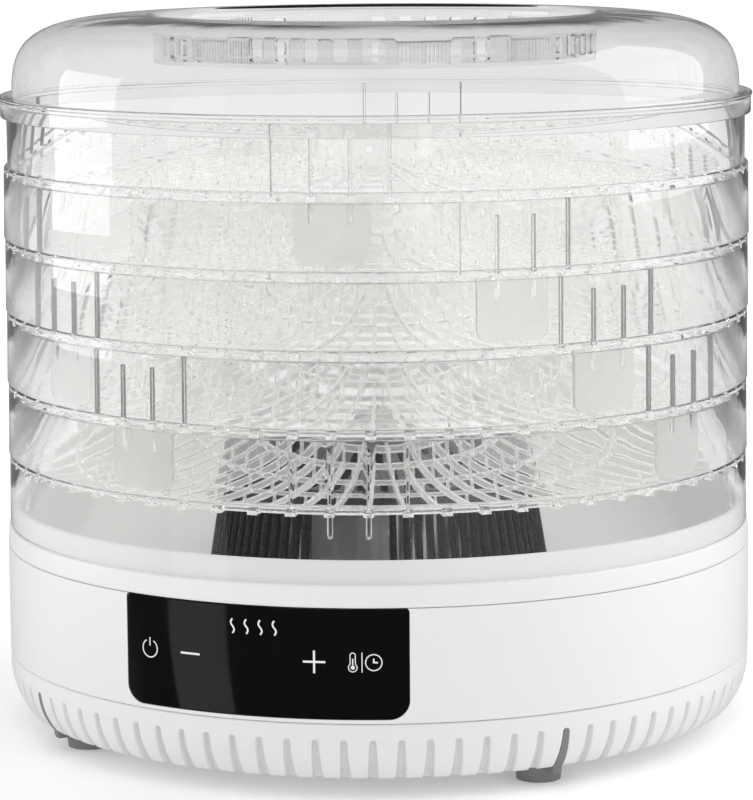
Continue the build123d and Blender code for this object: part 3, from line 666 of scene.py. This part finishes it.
def lower_housing_mesh():
    """Grooved skirt with a lip inside the shell, a floor with the air inlet, and pillars."""
    straight = [PLATE_BOTTOM + 1.2 + (GROOVE_ROUND_Z - PLATE_BOTTOM - 1.2) * k / 10
                for k in range(11)]
    curved = [GROOVE_ROUND_Z + GROOVE_HALF_TOP * sin(radians(a)) for a in (20, 38, 54, 68, 80)]
    heights = straight + curved + [GROOVE_TOP, GROOVE_TOP + 0.5, 29.5, SKIRT_TOP - 0.4]
    rings = [groove_ring(PLATE_BOTTOM, 0.9), groove_ring(PLATE_BOTTOM + 0.3, 0.35),
             groove_ring(PLATE_BOTTOM + 0.7, 0.1)]
    rings += [groove_ring(z) for z in heights]
    rings += [groove_ring(SKIRT_TOP, 0.4)]
    lip_out, lip_in, lip_top = BODY_R - SHELL_WALL - 0.2, BODY_R - 6.4, VENT_LINE + 5
    inside = ((lip_out, SKIRT_TOP), (lip_out, lip_top), (lip_in, lip_top), (lip_in, 20),
              (BODY_R - 12.6, PLATE_TOP), (150, PLATE_BOTTOM))
    rings += [plain_ring(radius, height) for radius, height in inside]
    plate = turned([(0, PLATE_BOTTOM), (151.5, PLATE_BOTTOM), (152.2, PLATE_TOP), (0, PLATE_TOP)])
    inlet = []
    for radius, count, length in ((48, 24, 24), (84, 36, 26)):
        inlet += radial_slots(radius, count, length, 4, PLATE_BOTTOM - 1, PLATE_TOP + 1)
    pillars = [rod(BOSS_R, PLATE_BOTTOM + 1, 35.6, standing(45 + q, 66)) for q in QUARTERS]
    return carved(lofted(rings), ("UNION", plate), ("DIFFERENCE", together(inlet)),
                  ("UNION", together(pillars)))


PANEL_HALF = (PANEL_HIGH.x - PANEL_LOW.x) / 2


def panel_block(gap):
    """Block in the panel's outline, its lower corners well rounded."""
    half, low, high = PANEL_HALF + gap, PANEL_LOW.z - gap, PANEL_HIGH.z + gap
    lower, upper = 8, 1.6
    outline = rounded([(-half, low, lower), (half, low, lower),
                       (half, high, upper), (-half, high, upper)], 12)
    return prism(outline, 130, 180, facing(0))


def base_shell_mesh():
    """Round wall with openings for the panel and, at the back, for the cord's gland."""
    inner, top = BODY_R - SHELL_WALL, PARTING - GAP
    wall = rounded([(inner, VENT_LINE, 0), (BODY_R, VENT_LINE, 0.5),
                    (BODY_R, top, 0.5), (inner, top, 0)])
    cord_hole = rod(6.6, 150, 180, facing(180) @ Matrix.Translation((0, 47, 0)))
    return carved(turned(wall, 720), ("DIFFERENCE", panel_block(0.15)), ("DIFFERENCE", cord_hole))


def control_panel_mesh():
    """Curved plate with a softened front edge."""
    wall = [(BODY_R - SHELL_WALL, 20), (BODY_R, 20), (BODY_R, 90), (BODY_R - SHELL_WALL, 90)]
    mesh = carved(turned(wall, 720), ("INTERSECT", panel_block(0)))
    shape = bmesh.new()
    shape.from_mesh(mesh)
    bmesh.ops.remove_doubles(shape, verts=shape.verts, dist=0.02 * MM)
    front = (BODY_R - 0.5) * MM
    rim = [e for e in shape.edges if all(v.co.xy.length > front for v in e.verts)
           and len(e.link_faces) == 2 and e.calc_face_angle(0) > 1]
    bmesh.ops.bevel(shape, geom=rim, offset=0.45 * MM, segments=3, profile=0.5, affect="EDGES",
                    clamp_overlap=False)
    shape.to_mesh(mesh)
    shape.free()
    return mesh


def top_deck_mesh():
    """Bowl and collar in one moulding, with four bosses down to the bottom screws."""
    inner = BODY_R - SHELL_WALL
    collar_in, collar_out = 158.9, 161.7
    low, top, hole_r = 67.5, 70.0, 66
    ledge_low, drop = SHOULDER - 2.5, collar_out - 0.3
    outline = rounded([(hole_r, low, 0), (hole_r, top, 0.6), (collar_in, top, 3),
                       (collar_in, COLLAR_TOP, 1.35), (collar_out, COLLAR_TOP, 1.35),
                       (collar_out, SHOULDER, 0.3), (164.5, SHOULDER, 1.0),
                       (BODY_R, PARTING + 1, 1.0), (BODY_R - 0.4, PARTING, 0), (inner, PARTING, 0),
                       (inner, ledge_low, 0), (drop, ledge_low, 0), (drop, low, 0)], 6)
    places = [standing(azimuth, 120) for azimuth in (60, 120, 240, 300)]
    bosses = together([rod(BOSS_R, 10.7, low + 1, place) for place in places])
    holes = together([rod(1.55, 5, 24, place) for place in places])
    return carved(turned(outline, 720), ("UNION", bosses), ("DIFFERENCE", holes))


def air_grille_mesh():
    """Black cone with a bar every 4.5 degrees and rings of slots in its top."""
    base_r, top_r, rim_r, seat_in, wall, bars = 75.0, 66.0, 77, 66.5, 2.2, 80
    rim_top = GRILLE_LOW + 2
    outline = rounded([(seat_in, GRILLE_LOW, 0), (rim_r, GRILLE_LOW, 0), (rim_r, rim_top, 0.8),
                       (base_r, rim_top, 0), (top_r, GRILLE_TOP, 1.6), (0, GRILLE_TOP, 0),
                       (0, GRILLE_TOP - wall, 0), (top_r - wall, GRILLE_TOP - wall, 0),
                       (base_r - wall - 1, rim_top, 0), (seat_in, rim_top, 0)])
    low, high = GRILLE_LOW + 5.5, GRILLE_TOP - 5
    slots = [wedge(55, 90, 1.35, 1.35, low, high, (k + 0.5) * 360 / bars, 0.12)
             for k in range(bars)]

    def bar_end(height, bar_r):
        """Round section of a bar where the cone has this height."""
        share = (height - rim_top) / (GRILLE_TOP - rim_top)
        middle = base_r + (top_r - base_r) * share - 0.55
        corners = [2 * pi * k / 10 for k in range(10)]
        return [(middle + bar_r * cos(a), bar_r * sin(a)) for a in corners]

    foot, head = bar_end(low - 2, 1.25), bar_end(high + 2, 1.1)
    rods = [prism(foot, low - 2, high + 2, plan(k * 360 / bars), head) for k in range(bars)]
    top_slots = []
    for ring_r, count in ((18, 12), (32, 20), (46, 28), (58, 36)):
        top_slots += radial_slots(ring_r, count, 10, 3.4, GRILLE_TOP - 6, GRILLE_TOP + 1)
    return carved(turned(outline), ("DIFFERENCE", together(slots)),
                  ("DIFFERENCE", together(top_slots)), ("UNION", together(rods)))


# ------------------------------------------------------- symbols on the panel
PRINT_DEPTH, PRINT_PROUD = 0.2, 0.03


def stroke(path, width, closed=False):
    """Printed line along a path of (x, y), hardly proud of the panel."""
    count = len(path)
    points = []
    for i, here in enumerate(path):
        before = path[i - 1] if i or closed else here
        after = path[(i + 1) % count] if i + 1 < count or closed else here
        along = (Vector(after) - Vector(before)).normalized()
        across = Vector((-along.y, along.x)) * width / 2
        left, right = Vector(here) + across, Vector(here) - across
        points += [(*left, -PRINT_DEPTH), (*right, -PRINT_DEPTH), (*right, PRINT_PROUD),
                   (*left, PRINT_PROUD)]
    faces = []
    for i in range(count if closed else count - 1):
        j = (i + 1) % count
        faces += [[4 * i + a, 4 * i + (a + 1) % 4, 4 * j + (a + 1) % 4, 4 * j + a]
                  for a in range(4)]
    if not closed:
        faces += [[3, 2, 1, 0], [4 * count - 4, 4 * count - 3, 4 * count - 2, 4 * count - 1]]
    return points, faces


def arc(x, y, radius, start, end, steps):
    """Points on a circle from one angle to another, in degrees from +x."""
    angles = [radians(start + (end - start) * s / steps) for s in range(steps + 1)]
    return [(x + radius * cos(a), y + radius * sin(a)) for a in angles]


def on_panel(shell, azimuth, height):
    """Shell drawn about (0, 0) wrapped round the panel with its middle at an azimuth."""
    points, faces = shell
    wrapped = []
    for x, y, depth in points:
        a = radians(azimuth) + x / BODY_R
        radius = BODY_R + depth
        wrapped.append(Vector((radius * sin(a), -radius * cos(a), height + y)))
    return wrapped, faces


def line(x0, y0, x1, y1, width):
    """Straight stroke with points enough to follow the panel's curve."""
    return stroke([(x0 + (x1 - x0) * s / 6, y0 + (y1 - y0) * s / 6) for s in range(7)], width)


def panel_symbols():
    """Each symbol's strokes about (0, 0), with its azimuth and height on the panel."""
    key_z = (PANEL_LOW.z + PANEL_HIGH.z) / 2 + 0.9
    thin, bold = 0.5, 0.85
    power = [stroke(arc(0, 0, 3.7, 118, 422, 40), thin), line(0, 1.1, 0, 4.6, thin)]
    minus = [line(-4.5, 0, 4.5, 0, bold)]
    plus = [line(-4.6, 0, 4.6, 0, bold), line(0, 0.45, 0, 4.7, bold), line(0, -4.7, 0, -0.45, bold)]
    glass = arc(0, -2.1, 1.75, 128, 412, 28) + arc(0, 2.9, 1.05, 0, 180, 12)
    bulb = stroke(arc(0, -2.1, 0.45, 0, 330, 12), 0.8, closed=True)
    thermometer = [stroke(glass, 0.4, closed=True), bulb, line(0, -1.2, 0, 1.6, 0.5)]
    divider = [line(0, -4.1, 0, 4.1, 0.4)]
    clock = [stroke(arc(0, 0, 3.3, 0, 350, 35), 0.45, closed=True), line(0, -0.3, 0, 1.6, 0.6),
             line(0.31, 0, 1.7, 0, 0.6)]
    air = [stroke([(x + 0.75 * sin(t * pi / 6), -3 + t * 0.5) for t in range(13)], 0.7)
           for x in (-9, -3, 3, 9)]
    return [(power, -17.4, key_z), (minus, -10.5, key_z), (plus, 8.2, key_z),
            (thermometer, 13.65, key_z), (divider, 14.95, key_z), (clock, 16.6, key_z),
            (air, -0.6, key_z + 13.2)]


piece("lower_housing_skirt", lower_housing_mesh(), "base", "white_abs", "lower_housing")
piece("base_shell_wall", base_shell_mesh(), "base", "white_abs", "base_shell")
piece("top_deck_moulding", top_deck_mesh(), "base", "white_abs", "top_deck")
piece("air_grille_cone", air_grille_mesh(), "base", "black_abs", "air_grille", smooth=50)
piece("control_panel_cover", control_panel_mesh(), "base", "black_gloss", "control_panel",
      smooth=50)
symbol_mesh = mesh_of(together([on_panel(shell, azimuth, height)
                                for shells, azimuth, height in panel_symbols()
                                for shell in shells]))
symbol_mesh.materials.append(WHITE_PRINT)
piece("panel_symbols", symbol_mesh, "base", "black_gloss")

# ------------------------------------------------- materials of the CAD nodes
for row in frame["record"]["subparts"]:
    node = frame["nodes"][row["node"]]
    node.data.materials.clear()
    node.data.materials.append(MATERIALS[row["material_slot"]])


# ---------------------------------------------------------- floor and light
# What is mirrored and what is seen through the plastic: (azimuth, level) round
# the room and (share of the way up, level)
MIRRORED_TURN = ((-180, 0.22), (-110, 0.4), (-58, 0.08), (70, 0.08), (100, 0.4), (150, 0.2),
                 (180, 0.22))
MIRRORED_HEIGHT = ((0, 0.6), (0.4, 1.0), (0.55, 1.0), (0.8, 0.4), (1, 0.3))
THROUGH_TURN = ((-180, 1.0), (-88, 1.0), (-60, 0.8), (-45, 0.3), (20, 0.3), (32, 0.97), (60, 0.97),
                (90, 0.78), (140, 0.82), (160, 1.0), (180, 1.0))
THROUGH_HEIGHT = ((0, 0.55), (0.22, 0.97), (0.45, 1.0), (0.6, 1.0), (0.8, 0.75), (1, 0.6))
ROOM_LIGHT = 0.76
# painted glow of the floor: distance from the middle in metres and glow strength; the weaker glow
# near the object is painted shadow
FLOOR_PAINTED_GLOW = (("From Min", 0.2), ("From Max", 0.9), ("To Min", 0.18), ("To Max", 0.5))
LAMP_CENTRE = Vector((0, 0, 0.16))


def make_stage():
    mesh = bpy.data.meshes.new("floor")
    side = 40.0
    mesh.from_pydata([(-side, -side, 0), (side, -side, 0), (side, side, 0), (-side, side, 0)],
                     [], [(0, 1, 2, 3)])
    ground = bpy.data.objects.new("floor", mesh)
    bpy.context.scene.collection.objects.link(ground)
    material, tree, shader = shader_tree("floor_white")
    shader.inputs["Base Color"].default_value = (0.9, 0.9, 0.9, 1)
    shader.inputs["Roughness"].default_value = 0.5
    shader.inputs["Emission Color"].default_value = (1, 1, 1, 1)
    # painted glow: the sweep glows brighter away from the object and dimmer near it, a painted
    # shadow round the base, so its shadow shows on white
    away = tree.nodes.new("ShaderNodeVectorMath")
    away.operation = "LENGTH"
    tree.links.new(tree.nodes.new("ShaderNodeTexCoord").outputs["Object"], away.inputs[0])
    painted_glow = tree.nodes.new("ShaderNodeMapRange")
    for socket, value in FLOOR_PAINTED_GLOW:
        painted_glow.inputs[socket].default_value = value
    tree.links.new(away.outputs["Value"], painted_glow.inputs["Value"])
    tree.links.new(painted_glow.outputs["Result"], shader.inputs["Emission Strength"])
    mesh.materials.append(material)
    ground.visible_glossy = False
    ground.visible_transmission = False


def direction(azimuth, elevation):
    """Unit vector towards an azimuth and elevation, in degrees."""
    a, e = radians(azimuth), radians(elevation)
    return Vector((sin(a) * cos(e), -cos(a) * cos(e), sin(e)))


def soft_lamp(name, azimuth, elevation, distance, size, radiance):
    """Soft box facing the object. It lights and is mirrored, but isn't seen through plastic."""
    data = bpy.data.lights.new(name, "AREA")
    data.shape = "RECTANGLE"
    data.size, data.size_y = size
    data.energy = radiance * pi * size[0] * size[1]
    lamp = bpy.data.objects.new(name, data)
    bpy.context.scene.collection.objects.link(lamp)
    lamp.location = LAMP_CENTRE + direction(azimuth, elevation) * distance
    tilt = max(elevation, 0)                     # a low lamp stands upright
    lamp.rotation_euler = direction(azimuth, tilt).to_track_quat("Z", "Y").to_euler()
    lamp.visible_camera = False
    lamp.visible_transmission = False


def math_node(tree, operation, first, second=None):
    node = tree.nodes.new("ShaderNodeMath")
    node.operation = operation
    for socket, value in zip(node.inputs, (first, second)):
        if isinstance(value, (int, float)):
            socket.default_value = value
        elif value is not None:
            tree.links.new(value, socket)
    return node.outputs["Value"]


def grey_ramp(tree, value, stops):
    """Grey level over 0..1 from (position, level) stops, the first at 0 and the last at 1."""
    ramp = tree.nodes.new("ShaderNodeValToRGB")
    tree.links.new(value, ramp.inputs["Fac"])
    elements = ramp.color_ramp.elements
    for position, level in stops[1:-1]:
        elements.new(position)
    for stop, (position, level) in zip(elements, stops):
        stop.position, stop.color = position, (level, level, level, 1)
    return ramp.outputs["Color"]


def make_world():
    """White room. What plastic bends or mirrors of it has darker stretches, as a studio does."""
    world = bpy.data.worlds.new("studio")
    world.use_nodes = True
    tree = world.node_tree
    nodes, links = tree.nodes, tree.links
    nodes.clear()
    out = nodes.new("ShaderNodeOutputWorld")
    split = nodes.new("ShaderNodeSeparateXYZ")
    links.new(nodes.new("ShaderNodeTexCoord").outputs["Generated"], split.inputs["Vector"])
    x, y, z = split.outputs
    # azimuth from the panel towards +X, as a share of a turn counted from -180
    azimuth = math_node(tree, "ARCTAN2", x, math_node(tree, "MULTIPLY", y, -1))
    turn = math_node(tree, "ADD", math_node(tree, "DIVIDE", azimuth, 2 * pi), 0.5)
    height = math_node(tree, "ADD", math_node(tree, "MULTIPLY", z, 0.5), 0.5)

    def background(turns, height_stops):
        azimuth_stops = [((a + 180) / 360, level) for a, level in turns]
        product = nodes.new("ShaderNodeMix")
        product.data_type, product.blend_type = "RGBA", "MULTIPLY"
        product.inputs["Factor"].default_value = 1
        links.new(grey_ramp(tree, turn, azimuth_stops), product.inputs["A"])
        links.new(grey_ramp(tree, height, height_stops), product.inputs["B"])
        shade = nodes.new("ShaderNodeBackground")
        links.new(product.outputs["Result"], shade.inputs["Color"])
        return shade.outputs["Background"]

    def even(level):
        shade = nodes.new("ShaderNodeBackground")
        shade.inputs["Color"].default_value = (1, 1, 1, 1)
        shade.inputs["Strength"].default_value = level
        return shade.outputs["Background"]

    light = nodes.new("ShaderNodeLightPath")

    def choose(ray, otherwise, shade):
        mix = nodes.new("ShaderNodeMixShader")
        links.new(light.outputs[ray], mix.inputs["Fac"])
        links.new(otherwise, mix.inputs[1])
        links.new(shade, mix.inputs[2])
        return mix.outputs["Shader"]

    mirrored = background(MIRRORED_TURN, MIRRORED_HEIGHT)
    through = background(THROUGH_TURN, THROUGH_HEIGHT)
    # what a ray meets once it has been through plastic, mirrored there or not
    bent = choose("Transmission Depth", mirrored, through)
    seen = choose("Is Glossy Ray", even(1), bent)
    # diffuse light is weaker than the white that the camera sees
    final = choose("Is Diffuse Ray", seen, even(ROOM_LIGHT))
    links.new(final, out.inputs["Surface"])
    bpy.context.scene.world = world


make_stage()
make_world()
soft_lamp("left_box", -80, 8.1, 1.7, (0.85, 0.7), 2.5)
soft_lamp("right_box", 117, 26, 1.9, (1.5, 1.8), 1.8)
soft_lamp("strip_box", -35.5, -8, 1.5, (0.48, 1.3), 0.55)
soft_lamp("top_box", 10, 80, 2.2, (1.6, 1.6), 1.0)

scene = bpy.context.scene
scene.view_settings.view_transform = "Standard"
scene.cycles.max_bounces = 32
scene.cycles.transmission_bounces = 32
scene.cycles.transparent_max_bounces = 48
scene.cycles.glossy_bounces = 12
scene.cycles.diffuse_bounces = 4
scene.cycles.caustics_refractive = False
scene.cycles.caustics_reflective = False
scene.cycles.use_denoising = True
